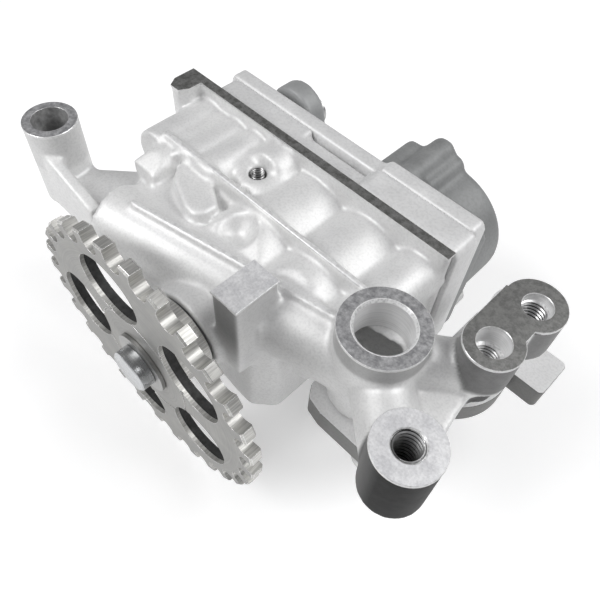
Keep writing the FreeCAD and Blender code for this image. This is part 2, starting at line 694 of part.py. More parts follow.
# Foot plate under the arm, with a round neck.
foot_plate = body("foot_plate")
foot_floor = S.foot_top - S.foot_thickness
Outline(foot_plate, "Plan", offset=foot_floor).polygon([
    (34.8, -41.5), (38, -46.2), (43.3, -47.4), (64, -47.4), (66, -30), (66, 2.3), (83.8, 2.3),
    (83.8, 16.6), (58, 16.6), (54, 8), (54, -24), (46, -32)]).pad(S.foot_thickness)
rounded(foot_plate, 1.8, upright)
Outline(foot_plate, "Disc", offset=foot_floor).circle(57, -5, 18).pad(S.foot_thickness)
Outline(foot_plate, "DiscEdge", offset=foot_floor - 1).box(36, -26, 54, 16).pocket(
    S.foot_thickness + 2, True)
Outline(foot_plate, "Neck", offset=S.neck_floor).circle(
    S.neck_x, S.neck_y, S.neck_radius).pad(S.foot_top - S.neck_floor)
Outline(foot_plate, "NeckTap", offset=S.neck_floor).circle(
    S.neck_x, S.neck_y, S.stud_core).pocket(-S.neck_floor - 8, True)
through = Outline(foot_plate, "ScrewHoles", offset=foot_floor)
for x, y in foot_screws:
    through.circle(x, y, S.screw_radius + 0.3)
through.pocket(S.foot_thickness, True)

# Drive shaft with its front groove and two keyways.
drive_shaft = body("drive_shaft")
ring_rear = S.sprocket_face - 0.1
ring_front = ring_rear - 1.1
lathe(drive_shaft, "Turned", [
    (S.shaft_tip, 0), (S.shaft_tip, S.shaft_front - 0.7), (S.shaft_tip + 0.7, S.shaft_front),
    (ring_front, S.shaft_front), (ring_front, S.shaft_front - 0.8),
    (ring_rear, S.shaft_front - 0.8), (ring_rear, S.shaft_front),
    (-chamber_depth, S.shaft_front), (-chamber_depth, S.shaft_rear),
    (S.shaft_end - 0.7, S.shaft_rear), (S.shaft_end, S.shaft_rear - 0.7), (S.shaft_end, 0)])
half_key = S.key_width / 2
front_key_low = S.shaft_front - (S.key_width - S.key_rise)
rear_key_low = S.shaft_rear - (S.key_width - S.key_rise)
front_key_end = S.sprocket_face + S.sprocket_width + S.hub_length - 2
front_key_start = S.sprocket_face + 0.5
Outline(drive_shaft, "FrontKeyway", "XZ_Plane", -front_key_start).box(
    -half_key, front_key_low, half_key, S.shaft_front + 1).pocket(
    front_key_end - front_key_start)
Outline(drive_shaft, "RearKeyway", "XZ_Plane", chamber_depth - 4).box(
    -half_key, rear_key_low, half_key, S.shaft_rear + 1).pocket(chamber_depth - 8)


def key(label, start, length, low):
    part = body(label)
    Outline(part, "Section", "XZ_Plane", -start).box(
        -half_key, low, half_key, low + S.key_width).pad(length, True)
    return part


sprocket_key = key("sprocket_key", front_key_start, front_key_end - front_key_start,
                   front_key_low)
gear_key = key("gear_key", -chamber_depth + 4, chamber_depth - 8, rear_key_low)

# Retaining ring in the shaft's groove, open at the bottom.
shaft_ring = body("shaft_ring")
lathe(shaft_ring, "Ring", [
    (ring_front + 0.05, S.shaft_front - 0.7), (ring_rear - 0.05, S.shaft_front - 0.7),
    (ring_rear - 0.05, S.ring_wide), (ring_front + 0.05, S.ring_wide)])
Outline(shaft_ring, "Gap", "XZ_Plane", -ring_front + 1).box(
    -2.2, -S.ring_wide - 1, 2.2, -S.shaft_front + 2).pocket(3)

# Sprocket: toothed disc with five round windows and a hub behind it.
sprocket = body("sprocket")
sprocket_pitch = S.chain_pitch / sine(180 / S.chain_teeth) / 2
sprocket_tip = sprocket_pitch + S.tooth_rise
disc_rear = S.sprocket_face + S.sprocket_width
along_y(sprocket, "Disc", S.sprocket_face, [(0, 0, sprocket_tip)]).pad(S.sprocket_width, True)
chamfer = size(0.5)
for name, face, inward in (("RimFront", S.sprocket_face, chamfer),
                           ("RimRear", disc_rear, -chamfer)):
    lathe(sprocket, name, [
        (face, sprocket_tip - chamfer), (face + inward, sprocket_tip),
        (face + inward, sprocket_tip + 1), (face - inward, sprocket_tip + 1),
        (face - inward, sprocket_tip - chamfer)], cut=True)
gap = Outline(sprocket, "ToothGap", "XZ_Plane", -S.sprocket_face, turn=((0, 0, 1), size(91.4)))
mouth = S.roller_radius * 0.98
seat_x = sprocket_pitch - S.roller_radius * cosine(70)
seat_z = S.roller_radius * sine(70)
gap.polygon([
    (sprocket_tip + 1, mouth), (seat_x, seat_z), (seat_x, -seat_z), (sprocket_tip + 1, -mouth),
], {1: (sprocket_pitch - S.roller_radius, 0, S.roller_radius)})
around(sprocket, gap.pocket(S.sprocket_width), gap.sketch, S.chain_teeth)
window = Outline(sprocket, "Window", "XZ_Plane", -S.sprocket_face, turn=((0, 0, 1), size(36)))
window.circle(S.window_circle, 0, S.window_radius)
around(sprocket, window.pocket(S.sprocket_width), window.sketch, 5)
along_y(sprocket, "Hub", disc_rear, [(0, 0, S.hub_radius)]).pad(S.hub_length, True)
lathe(sprocket, "FaceLine", [
    (S.sprocket_face - 1, 17.4), (S.sprocket_face + 0.3, 17.4), (S.sprocket_face + 0.3, 18),
    (S.sprocket_face - 1, 18)], cut=True)
along_y(sprocket, "Bore", S.sprocket_face, [(0, 0, S.shaft_front)]).pocket(
    S.sprocket_width + S.hub_length)
Outline(sprocket, "Keyway", "XZ_Plane", -S.sprocket_face).box(
    -half_key, 0, half_key, S.shaft_front + S.key_rise).pocket(
    S.sprocket_width + S.hub_length)

# Pump gears: equal, thirteen teeth, flanks drawn as the arc nearest to the involute.
base_radius = pitch_radius * cosine(S.pressure_angle)
flank_radius = pitch_radius * sine(S.pressure_angle) * 1.018


def involute(angle_cosine):
    """Involute function of the pressure angle with this cosine, in degrees."""
    angle = math.acos(angle_cosine.value)
    text = f"(tan(acos({angle_cosine.text})) * 180 / pi - acos({angle_cosine.text}) / 1 deg)"
    return Size(math.degrees(math.tan(angle) - angle), text)


pitch_half = 90 / S.gear_teeth - S.backlash / 4 / pitch_radius * (180 / math.pi)
base_half = pitch_half + involute(cosine(S.pressure_angle))
tip_half = base_half - involute(base_radius / gear_tip)


def polar(radius, angle):
    return radius * cosine(angle), radius * sine(angle)


def gear(label, heading, bore):
    part = body(label)
    along_y(part, "Core", -S.side_clearance, [(0, 0, gear_root)]).pad(S.gear_width)
    tooth = Outline(part, "Tooth", "XZ_Plane", S.side_clearance, turn=((0, 0, 1), heading))
    inner = gear_root - 0.5
    left, right = polar(pitch_radius, pitch_half), polar(pitch_radius, -pitch_half)
    tooth.polygon([
        polar(inner, base_half), polar(base_radius, base_half), polar(gear_tip, tip_half),
        polar(gear_tip, -tip_half), polar(base_radius, -base_half), polar(inner, -base_half),
    ], {1: (left[0], left[1], flank_radius), 3: (right[0], right[1], flank_radius)})
    around(part, tooth.pad(S.gear_width), tooth.sketch, S.gear_teeth)
    along_y(part, "Bore", -S.side_clearance, [(0, 0, bore)]).pocket(S.gear_width, True)
    return part


drive_gear = gear("drive_gear", S.gear_angle, S.shaft_rear)
Outline(drive_gear, "Keyway", "XZ_Plane", S.side_clearance).box(
    -half_key, 0, half_key, S.shaft_rear + S.key_rise).pocket(S.gear_width, True)
driven_gear = gear("driven_gear", S.gear_angle + 180 + 180 / S.gear_teeth, pin_bush_outer)
seat(driven_gear, driven_x, 0, driven_z)


def bush(label, start, length, inner, outer):
    part = body(label)
    along_y(part, "Wall", start, [(0, 0, outer), (0, 0, inner)]).pad(length, True)
    return part


front_bush = bush("front_bush", S.nose_tip + 0.5, -S.nose_tip - chamber_depth - 2.5,
                  S.shaft_front + S.running_fit, bush_outer)
rear_bush = bush("rear_bush", size(0.3), S.cover_thickness - 0.6,
                 S.shaft_rear + S.running_fit, rear_bush_outer)
gear_bush = bush("gear_bush", -S.gear_width - S.side_clearance + 0.3, S.gear_width - 0.6,
                 S.pin_radius + S.running_fit, pin_bush_outer)
seat(gear_bush, driven_x, 0, driven_z)
gear_pin = body("gear_pin")
along_y(gear_pin, "Bar", -chamber_depth - S.pin_grip + 0.3, [(0, 0, S.pin_radius)]).pad(
    chamber_depth + S.pin_grip * 2 - 0.6, True)
seat(gear_pin, driven_x, 0, driven_z)

# Relief valve: cup piston, spring, screw plug and its washer, on a vertical axis.
valve_piston = body("valve_piston")
skirt = S.valve_bore - S.running_fit
crown = S.piston_length - 2.2
spin(valve_piston, "Cup", [
    (0, crown), (0, S.piston_length), (skirt - 0.6, S.piston_length),
    (skirt, S.piston_length - 0.6), (skirt, 0), (skirt - S.piston_wall, 0),
    (skirt - S.piston_wall, crown)])
piston_floor = S.valve_seat - 0.05 - S.piston_length
seat(valve_piston, valve_x, valve_y, piston_floor)

plug_top = S.case_floor + S.plug_reach
plug_radius = S.valve_bore + 1.15
valve_plug = body("valve_plug")
head_floor = -S.washer_thickness - S.plug_head
Outline(valve_plug, "Head", offset=head_floor).hexagon(size(0), size(0), 17).pad(S.plug_head)
Outline(valve_plug, "Thread", offset=-S.washer_thickness).circle(0, 0, plug_radius).pad(
    S.plug_reach + S.washer_thickness)
seat(valve_plug, valve_x, valve_y, S.case_floor)
plug_washer = body("plug_washer")
Outline(plug_washer, "Ring", offset=-S.washer_thickness).circle(0, 0, S.valve_tower).circle(
    0, 0, plug_radius + 0.1).pad(S.washer_thickness)
seat(plug_washer, valve_x, valve_y, S.case_floor)

valve_spring = body("valve_spring")
spring_room = piston_floor + crown - plug_top
wire = Outline(valve_spring, "Wire", "XZ_Plane").circle(
    S.spring_radius, S.spring_wire / 2, S.spring_wire / 2)
coil = wire.feature("PartDesign::AdditiveHelix", "Coil")
coil.ReferenceAxis = (wire.sketch, ["V_Axis"])
coil.Mode = "height-turns-angle"
bind(coil, "Height", spring_room - S.spring_wire - 0.1)
bind(coil, "Turns", S.spring_turns)
seat(valve_spring, valve_x, valve_y, plug_top + 0.05)

# Cup plug in the gallery's drilled end.
gallery_plug = body("gallery_plug")
cup_start = S.gallery_length - S.cup_depth
gallery_outline(gallery_plug, "Cup").polygon([
    (cup_start, 0), (cup_start, S.gallery_bore), (S.gallery_length - 0.3, S.gallery_bore),
    (S.gallery_length - 0.3, S.gallery_bore - S.cup_wall),
    (cup_start + S.cup_wall, S.gallery_bore - S.cup_wall), (cup_start + S.cup_wall, 0)]).turn()

# Dowels and screws, each kind as one group of equal pieces.
dowels = body("dowels")
along_y(dowels, "Bars", S.dowel_length * -0.4, [
    (x, z, S.dowel_radius) for x, z in dowel_places]).pad(S.dowel_length, True)

cover_screws = body("cover_screws")
along_y(cover_screws, "Shanks", -S.screw_grip, [
    (x, z, S.screw_radius) for x, z in screw_places]).pad(S.screw_grip + head_seat, True)
along_y(cover_screws, "Heads", head_seat, [
    (x, z, S.screw_head) for x, z in screw_places]).pad(S.screw_head_height, True)
sockets = Outline(cover_screws, "Sockets", "XZ_Plane", -(head_seat + S.screw_head_height))
for x, z in screw_places:
    sockets.hexagon(x, z, S.screw_socket * 2)
sockets.pocket(3, True)

plate_screws = body("foot_screws")
for name, floor, radius, height in (
        ("Shanks", foot_floor, S.screw_radius, S.foot_thickness + 10),
        ("Heads", foot_floor - S.screw_head_height, S.screw_head, S.screw_head_height)):
    group = Outline(plate_screws, name, offset=floor)
    for x, y in foot_screws:
        group.circle(x, y, radius)
    group.pad(height)
sockets = Outline(plate_screws, "Sockets", offset=foot_floor - S.screw_head_height)
for x, y in foot_screws:
    sockets.hexagon(x, y, S.screw_socket * 2)
sockets.pocket(3, True)

doc.recompute()
parts = [item for item in doc.Objects if item.TypeId == "PartDesign::Body"]
for item in doc.Objects:
    if "Invalid" in item.State or "Error" in item.State:
        raise RuntimeError(f"{item.Name} did not compute: {item.State}")
for part in parts:
    if part.Shape.isNull() or not part.Shape.isValid() or not part.Shape.Solids:
        raise RuntimeError(f"{part.Label} has no valid shape")

os.makedirs("parts", exist_ok=True)
for part in parts:
    part.Shape.exportStep(f"parts/{part.Label}.step")
    box = part.Shape.BoundBox
    print(f"{part.Label:16s} solids {len(part.Shape.Solids)}  volume {part.Shape.Volume:9.1f}  "
          f"x {box.XMin:.1f}..{box.XMax:.1f}  y {box.YMin:.1f}..{box.YMax:.1f}  "
          f"z {box.ZMin:.1f}..{box.ZMax:.1f}")
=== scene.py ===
import math

import bmesh
import bpy
from mathutils import Matrix, Vector


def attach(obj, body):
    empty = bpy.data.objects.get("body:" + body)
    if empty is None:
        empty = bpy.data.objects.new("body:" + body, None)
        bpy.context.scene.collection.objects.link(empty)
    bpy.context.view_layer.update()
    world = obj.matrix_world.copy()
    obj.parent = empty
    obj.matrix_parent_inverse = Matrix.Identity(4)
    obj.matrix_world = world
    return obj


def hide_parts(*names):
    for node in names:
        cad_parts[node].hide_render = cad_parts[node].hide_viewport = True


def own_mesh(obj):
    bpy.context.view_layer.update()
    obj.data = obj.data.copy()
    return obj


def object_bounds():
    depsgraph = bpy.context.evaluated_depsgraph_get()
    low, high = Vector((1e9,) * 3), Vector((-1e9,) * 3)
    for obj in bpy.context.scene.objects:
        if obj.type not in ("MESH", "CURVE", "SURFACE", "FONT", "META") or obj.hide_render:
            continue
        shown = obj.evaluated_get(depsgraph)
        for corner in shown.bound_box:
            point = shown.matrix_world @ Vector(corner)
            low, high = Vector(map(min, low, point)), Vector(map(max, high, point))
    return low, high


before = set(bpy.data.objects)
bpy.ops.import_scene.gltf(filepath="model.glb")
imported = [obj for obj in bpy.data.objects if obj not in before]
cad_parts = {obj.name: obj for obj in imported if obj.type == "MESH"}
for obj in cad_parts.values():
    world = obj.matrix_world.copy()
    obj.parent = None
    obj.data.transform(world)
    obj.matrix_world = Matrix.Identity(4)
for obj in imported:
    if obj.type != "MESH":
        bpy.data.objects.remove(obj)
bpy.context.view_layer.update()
scene = bpy.context.scene
MM = 0.001

# The pump lies on a pale table and is looked down on from the port arm's side.
# Camera and lens repeat the photograph's view; the table is a wide sheet under the spigot.
scene.view_settings.view_transform = "Standard"
lens = bpy.data.cameras.new("camera")
lens.lens, lens.sensor_width = 36.99, 36.0
lens.clip_start, lens.clip_end = 0.01, 100
eye = bpy.data.objects.new("camera", lens)
eye.matrix_world = Matrix((
    (0.7080, -0.5955, 0.3796, 0.0855),
    (0.7048, 0.5618, -0.4332, -0.1073),
    (0.0447, 0.5743, 0.8175, 0.1515),
    (0, 0, 0, 1)))
scene.collection.objects.link(eye)
scene.camera = eye

table_gap, table_reach = 0.4 * MM, 30
floor_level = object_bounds()[0].z - table_gap
table = bmesh.new()
bmesh.ops.create_grid(table, x_segments=8, y_segments=8, size=table_reach,
                      matrix=Matrix.Translation((0, 0, floor_level)))
table_mesh = bpy.data.meshes.new("table")
table.to_mesh(table_mesh)
table.free()
table_top = bpy.data.objects.new("table", table_mesh)
scene.collection.objects.link(table_top)
paper = bpy.data.materials.new("white_paper")
paper.use_nodes = True
paper_shader = paper.node_tree.nodes["Principled BSDF"]
paper_shader.inputs["Base Color"].default_value = (0.93, 0.93, 0.93, 1)
paper_shader.inputs["Roughness"].default_value = 0.9
paper_shader.inputs["Specular IOR Level"].default_value = 0.1
# The paper glows a little where the camera or a reflection sees it, so it reads as white.
paper_glow = 0.28
seen = paper.node_tree.nodes.new("ShaderNodeLightPath")
ray = seen.outputs["Is Camera Ray"]
for other in ("Is Glossy Ray", "Is Transmission Ray"):
    either = paper.node_tree.nodes.new("ShaderNodeMath")
    either.operation = "MAXIMUM"
    paper.node_tree.links.new(ray, either.inputs[0])
    paper.node_tree.links.new(seen.outputs[other], either.inputs[1])
    ray = either.outputs[0]
lift = paper.node_tree.nodes.new("ShaderNodeMath")
lift.operation = "MULTIPLY"
lift.inputs[1].default_value = paper_glow
paper.node_tree.links.new(ray, lift.inputs[0])
paper.node_tree.links.new(lift.outputs[0], paper_shader.inputs["Emission Strength"])
paper_shader.inputs["Emission Color"].default_value = (1, 1, 1, 1)
table_mesh.materials.append(paper)

# Plain soft studio light: an even grey room with two round softboxes.
# The broad one stands behind the pump on the right, the smaller one in front on the left.
room = bpy.data.worlds.new("room")
room.use_nodes = True
room.node_tree.nodes["Background"].inputs["Color"].default_value = (0.27, 0.27, 0.275, 1)
room.node_tree.nodes["Background"].inputs["Strength"].default_value = 1.0
scene.world = room


def softbox(name, place, aim, across, watts):
    lamp = bpy.data.lights.new(name, "AREA")
    lamp.shape, lamp.size, lamp.energy = "DISK", across, watts
    stand = bpy.data.objects.new(name, lamp)
    stand.matrix_world = Matrix.Translation(place) @ (
        Vector(aim) - Vector(place)).to_track_quat("-Z", "Y").to_matrix().to_4x4()
    scene.collection.objects.link(stand)


softbox("key_lamp", (0.39, 0.30, 0.58), (0, 0, 0), 0.60, 3.3)
softbox("front_lamp", (-0.27, -0.46, 0.52), (0, 0, 0), 0.45, 3.0)


# Housing: a light alloy casting with soft fillets between its ribs, ridges and bosses.
# It is the CAD solid with its cast edges rubbed round, and cut level where it is machined.
class Finish:
    """A material being made: patterns read the place on the piece, the shader takes them."""

    def __init__(self, name, metallic, roughness):
        self.made = bpy.data.materials.new(name)
        self.made.use_nodes = True
        self.nodes, self.links = self.made.node_tree.nodes, self.made.node_tree.links
        self.shader = self.nodes["Principled BSDF"]
        self.shader.inputs["Metallic"].default_value = metallic
        self.shader.inputs["Roughness"].default_value = roughness
        self.place = self.nodes.new("ShaderNodeTexCoord").outputs["Object"]

    def mapped(self, scale=(1, 1, 1), turn=(0, 0, 0), shift=(0, 0, 0)):
        node = self.nodes.new("ShaderNodeMapping")
        node.inputs["Location"].default_value = shift
        node.inputs["Rotation"].default_value = turn
        node.inputs["Scale"].default_value = scale
        self.links.new(self.place, node.inputs["Vector"])
        return node.outputs["Vector"]

    def noise(self, grain, detail=3.0, place=None, rough=0.55):
        """Noise whose lumps are about grain millimetres wide."""
        node = self.nodes.new("ShaderNodeTexNoise")
        node.inputs["Scale"].default_value = 1 / (grain * MM)
        node.inputs["Detail"].default_value = detail
        node.inputs["Roughness"].default_value = rough
        self.links.new(place or self.place, node.inputs["Vector"])
        return node.outputs["Fac"]

    def ramp(self, source, *stops):
        node = self.nodes.new("ShaderNodeValToRGB")
        marks = node.color_ramp.elements
        while len(marks) < len(stops):
            marks.new(0.5)
        for mark, (at, shade) in zip(marks, stops):
            mark.position = at
            mark.color = (*shade, 1) if isinstance(shade, (tuple, list)) else (shade,) * 3 + (1,)
        self.links.new(source, node.inputs["Fac"])
        return node.outputs["Color"]

    def mix(self, share, first, second, blend="MIX"):
        node = self.nodes.new("ShaderNodeMix")
        node.data_type, node.blend_type = "RGBA", blend
        for socket, value in zip((0, 6, 7), (share, first, second)):
            if isinstance(value, bpy.types.NodeSocket):
                self.links.new(value, node.inputs[socket])
            elif socket == 0:
                node.inputs[0].default_value = value
            else:
                node.inputs[socket].default_value = (*value, 1)
        return node.outputs[2]

    def attribute(self, name):
        node = self.nodes.new("ShaderNodeAttribute")
        node.attribute_name = name
        return node.outputs["Fac"]

    def range(self, source, low, high, out_low=0.0, out_high=1.0):
        node = self.nodes.new("ShaderNodeMapRange")
        for key, value in zip(("From Min", "From Max", "To Min", "To Max"),
                              (low, high, out_low, out_high)):
            node.inputs[key].default_value = value
        self.links.new(source, node.inputs["Value"])
        return node.outputs["Result"]

    def colour(self, source):
        self.links.new(source, self.shader.inputs["Base Color"])

    def rough(self, source):
        self.links.new(source, self.shader.inputs["Roughness"])

    def bump(self, *layers):
        """Each layer is (height source, millimetres)."""
        normal = None
        for source, height in layers:
            node = self.nodes.new("ShaderNodeBump")
            node.inputs["Distance"].default_value = height * MM
            node.inputs["Strength"].default_value = 1.0
            self.links.new(source, node.inputs["Height"])
            if normal is not None:
                self.links.new(normal, node.inputs["Normal"])
            normal = node.outputs["Normal"]
        self.links.new(normal, self.shader.inputs["Normal"])


def cast_finish(name, dark, light, edge_light, metallic, roughness, grain=0.55):
    """Sand-blasted casting: grain, clouds, edges brightened by wear, painted shade in hollows
    and on 'shade' sides.
    """
    finish = Finish(name, metallic, roughness)
    clouds = finish.noise(14, 4)
    tone = finish.ramp(clouds, (0.32, dark), (0.68, light))
    specks = finish.ramp(finish.noise(grain * 1.3, 3), (0.34, 0.84), (0.56, 1.0))
    tone = finish.mix(0.6, tone, specks, "MULTIPLY")
    wear = finish.range(finish.attribute("edge"), 0.2, 1.0, 0.0, 0.45)
    tone = finish.mix(wear, tone, edge_light)
    # Painted shade: hollows where the rubbing sank the surface are darkened.
    hollow_painted_shade = finish.range(finish.attribute("edge"), -0.9, -0.1, 0.3, 0.0)
    tone = finish.mix(hollow_painted_shade, tone, [c * 0.62 for c in dark])
    # Painted dark reflection: where the 'shade' layer is set, the tone goes to a near black copy
    # of dark.
    side = finish.ramp(finish.noise(2.4, 3), (0.35, [c * 0.035 for c in dark]),
                       (0.65, [c * 0.08 for c in dark]))
    tone = finish.mix(finish.attribute("shade"), tone, side)
    finish.colour(tone)
    finish.rough(finish.range(clouds, 0.3, 0.7, roughness - 0.05, roughness + 0.07))
    finish.bump((finish.noise(grain, 2), 0.035), (finish.noise(3.0, 3), 0.04))
    finish.shader.inputs["Specular IOR Level"].default_value = 0.25
    return finish


def merged(node):
    """A working copy of a CAD node's mesh with its loose triangles joined."""
    work = bmesh.new()
    work.from_mesh(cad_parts[node].data)
    bmesh.ops.remove_doubles(work, verts=work.verts, dist=2e-6)
    return work


def piece(name, work, finish, body, stands_for=(), crisp=35):
    """Finishes a mesh as a piece of the pump that moves with its body."""
    mesh = bpy.data.meshes.new(name)
    work.to_mesh(mesh)
    work.free()
    made = bpy.data.objects.new(name, mesh)
    scene.collection.objects.link(made)
    for one in finish if isinstance(finish, (list, tuple)) else [finish]:
        mesh.materials.append(one.made)
    mesh.shade_smooth()
    mesh.set_sharp_from_angle(angle=math.radians(crisp))
    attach(made, body)
    if stands_for:
        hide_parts(*stands_for)
    return made


def from_axis(x, y, centre):
    """How far a place lies from an upright axis."""
    return math.hypot(x - centre[0], y - centre[1])


def widen(work, centre, radius, wanted):
    """Moves the wall of an upright bore out to a wanted radius, all in millimetres."""
    x, y = centre
    for v in work.verts:
        if abs(from_axis(v.co.x / MM, v.co.y / MM, centre) - radius) < 0.05:
            v.co.x = x * MM + (v.co.x - x * MM) * wanted / radius
            v.co.y = y * MM + (v.co.y - y * MM) * wanted / radius


def smoothed(work, verts, passes):
    """Evens a surface out by moving the given vertices towards their neighbours."""
    for _ in range(passes):
        bmesh.ops.smooth_vert(work, verts=verts, factor=0.5,
                              use_axis_x=True, use_axis_y=True, use_axis_z=True)


def rubbed(work, voxel, passes):
    """Remeshes a solid evenly and rubs its edges round; 'edge' keeps where it was rubbed."""
    mesh = bpy.data.meshes.new("raw")
    work.to_mesh(mesh)
    work.free()
    raw = bpy.data.objects.new("raw", mesh)
    scene.collection.objects.link(raw)
    even = raw.modifiers.new("even", "REMESH")
    even.mode, even.voxel_size = "VOXEL", voxel * MM
    view = bpy.context.evaluated_depsgraph_get()
    done = bpy.data.meshes.new_from_object(raw.evaluated_get(view))
    bpy.data.objects.remove(raw)
    work = bmesh.new()
    work.from_mesh(done)
    bpy.data.meshes.remove(done)
    work.normal_update()
    before = [(v.co.copy(), v.normal.copy()) for v in work.verts]
    smoothed(work, work.verts, passes)
    edge = work.verts.layers.float.new("edge")
    fully_worn = 0.35 * MM
    for v, (place, normal) in zip(work.verts, before):
        v[edge] = (place - v.co).dot(normal) / fully_worn
    for _ in range(3):
        calmed = [sum(e.other_vert(v)[edge] for e in v.link_edges) / len(v.link_edges)
                  for v in work.verts]
        for v, value in zip(work.verts, calmed):
            v[edge] = 0.5 * (v[edge] + value)
    work.normal_update()
    return work


def rim_of(cut):
    """The open edges that a cut leaves."""
    return [e for e in cut["geom_cut"] if isinstance(e, bmesh.types.BMEdge) and e.is_boundary]


def cut_level(work, place, normal):
    """Cuts away what lies beyond a plane and closes the cut."""
    cut = bmesh.ops.bisect_plane(
        work, geom=work.verts[:] + work.edges[:] + work.faces[:], dist=1e-7,
        plane_co=Vector(place), plane_no=Vector(normal), clear_outer=True)
    bmesh.ops.triangle_fill(work, edges=rim_of(cut), use_beauty=True, normal=Vector(normal))


def fade(value, start, end):
    """Falls smoothly from 1 at start to 0 at end."""
    share = min(max((value - start) / (end - start), 0), 1)
    return 1 - share * share * (3 - 2 * share)


cast_alloy = cast_finish("cast_alloy", (0.76, 0.76, 0.76), (0.83, 0.83, 0.825),
                         (0.92, 0.92, 0.92), 0.45, 0.54)
top_level = 26.5
cast_level = 25.9
port_at, barrel_at, near_at, far_at = (47.2, -31.6), (70.5, -51.0), (68.4, -15.8), (70.0, 1.2)
hollow_boss_at, deck_hole_at = (-72.4, -48.9), (-16.7, -14.4)
m8_core = 3.4
port_radius, boss_radius = 7.7, 4.5
shell = merged("housing")
# The machined tops are raised first, so that no rubbed edge is left below the level cut.
spare_height = 4
for v in shell.verts:
    if v.co.z > (top_level - 0.05) * MM:
        v.co.z += spare_height * MM
# Each bore is widened to make room for the finished wall that is put into it further on.
for centre, radius, wanted in (
        (barrel_at, m8_core, 4.6), (near_at, 4.5, 5.0), (near_at, m8_core, 4.6),
        (far_at, 4.1, 4.7), (far_at, m8_core, 4.5), (hollow_boss_at, boss_radius, 5.2),
        (hollow_boss_at, 5.6, 6.2), (port_at, port_radius, 8.5), (deck_hole_at, 2.1, 2.7)):
    widen(shell, centre, radius, wanted)
# The gear chambers are widened too, so that their rubbed walls stay clear of the gears' tips.
chamber_radius, chamber_floor, chamber_room = 15.06, -28, 0.4
for gear_x, gear_z in ((0, 0), (-24.43, -8.89)):
    for v in shell.verts:
        away = Vector((v.co.x / MM - gear_x, 0, v.co.z / MM - gear_z))
        on_wall = abs(away.length - chamber_radius) < chamber_room
        if on_wall and chamber_floor - 1 < v.co.y / MM < 0.1:
            v.co += away.normalized() * chamber_room * MM
            if v.co.y < chamber_floor * MM:
                v.co.y -= chamber_room * MM
shell = rubbed(shell, voxel=0.84, passes=4)
beside_hole = [v for v in shell.verts if v.co.z > 19 * MM
               and 3.3 < from_axis(v.co.x / MM, v.co.y / MM, deck_hole_at) < 8.5]
smoothed(shell, beside_hole, 12)
for v in beside_hole:
    v[shell.verts.layers.float["edge"]] *= 0.3
# Painted dark reflection and shade: the upright sides of barrel, lobes, hollow boss, port and
# block are coloured dark, standing in for a dark room. Each round one has its axis, its radius,
# its lowest height and how dark it is.
painted_dark_sides = (
    (barrel_at, 9.0, 0, 1.0), (near_at, 7.9, 12.6, 0.8), (near_at, 6.2, 3, 0.95),
    ((69.4, 1.2), 8.4, 4, 0.75), (hollow_boss_at, 8.4, 12, 0.12), (port_at, 12.2, 19, 0.45))
block_left, block_right, block_front, block_back = 10.1, 19.8, -55.5, -40.5
shade = shell.verts.layers.float.new("shade")
for v in shell.verts:
    x, y, z = v.co / MM
    upright = fade(abs(v.normal.z), 0.45, 0.8)
    dark = 0
    for centre, radius, low, depth in painted_dark_sides:
        near = fade(from_axis(x, y, centre) - radius, 0.3, 1.4)
        # Sides that face -x are painted a little lighter.
        depth *= 1 - 0.22 * max(-v.normal.x, 0)
        dark = max(dark, depth * near * upright * fade(low - z, -2, 0))
    # Painted shade on the block: its front and side faces are darkened.
    off_block = max(block_left - x, x - block_right, block_front - y, y - block_back)
    facing = max(-v.normal.y, 0.3 * v.normal.x, -v.normal.x, 0)
    dark = max(dark, 0.6 * fade(off_block, 0.3, 1.2) * facing * fade(-z, -16, 4))
    v[shade] = dark
cut_level(shell, (0, 0, cast_level * MM), (0, 0, 1))
# Painted dark reflection on the barrel's side: near black where the painted shade is deepest,
# with a grey border.
painted_dark_side = Finish("painted_dark_side", 0.1, 0.5)
painted_side_tone = painted_dark_side.ramp(painted_dark_side.noise(3.0, 4), (0.35, 0.006), (0.65, 0.014))
painted_dark_side.colour(painted_dark_side.mix(painted_dark_side.range(
    painted_dark_side.attribute("shade"), 0.80, 0.99, 1.0, 0.0), painted_side_tone, (0.17, 0.17, 0.168)))
painted_dark_side.shader.inputs["Specular IOR Level"].default_value = 0.08
painted_dark_side.bump((painted_dark_side.noise(0.5, 2), 0.02))
for face in shell.faces:
    middle = face.calc_center_median() / MM
    if (from_axis(middle.x, middle.y, barrel_at) < 9.6
            and all(v[shade] > 0.8 for v in face.verts)):
        face.material_index = 1
piece("housing_casting", shell, [cast_alloy, painted_dark_side], "pump", ["housing"], crisp=80)


# Machined tops: one milling pass levels the strip, corner, block, port ring and bosses.
# The cut faces are darker and mottled; lighter and darker copies on different tops are painted
# reflection.
def milled_finish(name, dark, light, roughness, blotch):
    """Milled alloy: dark and light blotches, blotch millimetres wide, over a fine grain."""
    finish = Finish(name, 0.9, roughness)
    blotches = finish.noise(blotch, 5, rough=0.65)
    tone = finish.ramp(blotches, (0.39, dark), (0.61, light))
    fine = finish.ramp(finish.noise(0.7, 3), (0.36, 0.80), (0.62, 1.08))
    finish.colour(finish.mix(0.6, tone, fine, "MULTIPLY"))
    finish.rough(finish.range(blotches, 0.3, 0.7, roughness + 0.1, roughness - 0.06))
    finish.bump((finish.noise(0.35, 2), 0.012), (finish.noise(2.5, 3), 0.01))
    return finish


def flats_joined(work):
    """Joins faces that lie in one plane, so that only real edges are left to bevel."""
    bmesh.ops.dissolve_limit(work, angle_limit=math.radians(1), verts=work.verts[:],
                             edges=work.edges[:], delimit={"NORMAL"})


